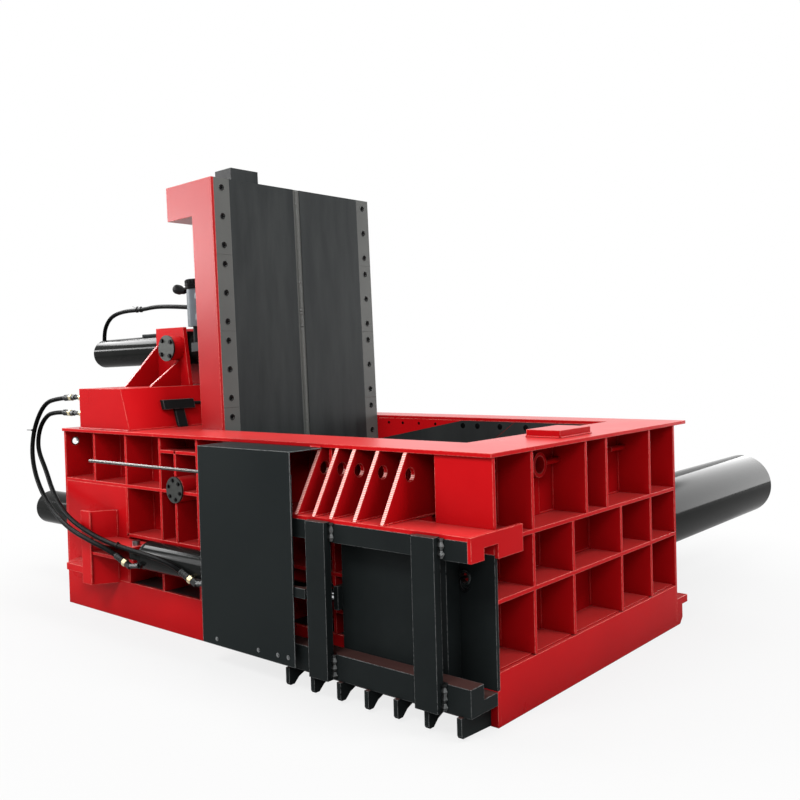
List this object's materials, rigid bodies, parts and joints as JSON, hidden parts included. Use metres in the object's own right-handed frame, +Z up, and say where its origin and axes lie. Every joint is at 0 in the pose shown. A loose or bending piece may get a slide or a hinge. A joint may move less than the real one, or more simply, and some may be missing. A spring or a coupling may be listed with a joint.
{
  "type": "metal_scrap_baler",
  "caption": "Hydraulic scrap baler: welded ribbed press box with a tall hinged lid, a sliding bale door, and press cylinders at the side and the back, drawn with the lid open.",
  "frame": {"origin": "on the ground, under the middle of the welded frame", "axes": "+X along the long front face towards the bale door, +Y from the front face to the back, +Z up"},
  "size_m": [4.872, 4.76, 2.9818],
  "materials": {
    "red_paint": "satin",
    "black_paint": "satin",
    "grey_paint": "satin",
    "chrome_rod": "polished",
    "steel": "satin",
    "hose_rubber": "matte"
  },
  "bodies": {
    "frame": {"base_frame": "red_paint", "chamber_floor": "black_paint", "front_wall_plates": "red_paint", "front_ribs": "red_paint", "front_face_plates": "red_paint", "port_face_plate": "black_paint", "port_sleeves": "black_paint", "side_ribs": "red_paint", "wall_pipes": "red_paint", "right_wall_plates": "red_paint", "back_wall_plates": "red_paint", "left_end_plates": "red_paint", "flange_front": "red_paint", "flange_right": "red_paint", "flange_back": "red_paint", "deck_left": "red_paint", "gate_guides": "black_paint", "upper_guide_shelf": "red_paint", "guide_bars": "black_paint", "guide_brackets": "black_paint", "guide_gussets": "red_paint", "gate_cover": "black_paint", "gate_cylinder": "grey_paint", "gate_cylinder_pin": "steel", "gate_cylinder_bracket": "red_paint", "cross_beam": "red_paint", "trunnion_brackets": "red_paint", "bearing_caps": "black_paint", "bearing_housings": "red_paint", "lid_switch_bracket": "black_paint", "side_cylinders": "grey_paint", "ram_box": "red_paint", "main_cylinder": "grey_paint", "hose_upper": "hose_rubber", "hose_lower": "hose_rubber", "hose_fittings": "steel"},
    "lid": {"lid_sides": "red_paint", "lid_frame_plates": "red_paint", "lid_head_beam": "red_paint", "lid_wear_plates": "black_paint", "lid_centre_strip": "black_paint", "lid_blades": "black_paint", "lid_hinge_shaft": "steel", "lid_ears": "red_paint", "lock_cylinder": "red_paint", "lock_cylinder_cap": "black_paint"},
    "lid_lock": {"lock_tongue": "black_paint", "lock_rod": "chrome_rod"},
    "lid_cylinder": {"lid_cylinders": "grey_paint", "hose_lid": "hose_rubber", "lid_hose_fittings": "steel"},
    "lid_rod": {"lid_rods": "chrome_rod"},
    "gate": {"gate_plate": "black_paint", "gate_rod": "chrome_rod", "track_arm": "black_paint", "track_rod": "chrome_rod"},
    "side_ram": {"side_press_head": "red_paint", "side_rods": "chrome_rod"},
    "main_ram": {"main_press_head": "black_paint", "main_rod": "chrome_rod"}
  },
  "joints": [
    {"name": "lid_hinge", "type": "hinge", "parent": "frame", "child": "lid", "pos_m": [-0.54, 0, 0.905], "axis": [0, 1, 0], "range_deg": [0, 91.5]},
    {"name": "lid_lock_slide", "type": "slide", "parent": "lid", "child": "lid_lock", "axis": [0.0262, 0, -0.9997], "range_m": [0, 0.086]},
    {"name": "lid_cylinder_swing", "type": "hinge", "parent": "frame", "child": "lid_cylinder", "pos_m": [-1.31, 0, 1.8], "axis": [0, 1, 0], "range_deg": [0, 21.22]},
    {"name": "lid_rod_slide", "type": "slide", "parent": "lid_cylinder", "child": "lid_rod", "axis": [0.9999, 0, 0.0159], "range_m": [0, 1.3204]},
    {"name": "gate_slide", "type": "slide", "parent": "frame", "child": "gate", "axis": [-1, 0, 0], "range_m": [0, 0.64]},
    {"name": "side_press_slide", "type": "slide", "parent": "frame", "child": "side_ram", "axis": [1, 0, 0], "range_m": [0, 1.58]},
    {"name": "main_press_slide", "type": "slide", "parent": "frame", "child": "main_ram", "axis": [0, -1, 0], "range_m": [0, 1.83]}
  ],
  "couplings": [
    {"joint": "lid_lock_slide", "follows": "lid_hinge", "m_per_rad": 0.053846},
    {"joint": "lid_cylinder_swing", "follows": "lid_hinge", "ratio": 0.23133},
    {"joint": "lid_rod_slide", "follows": "lid_hinge", "m_per_rad": 0.8262}
  ]
}
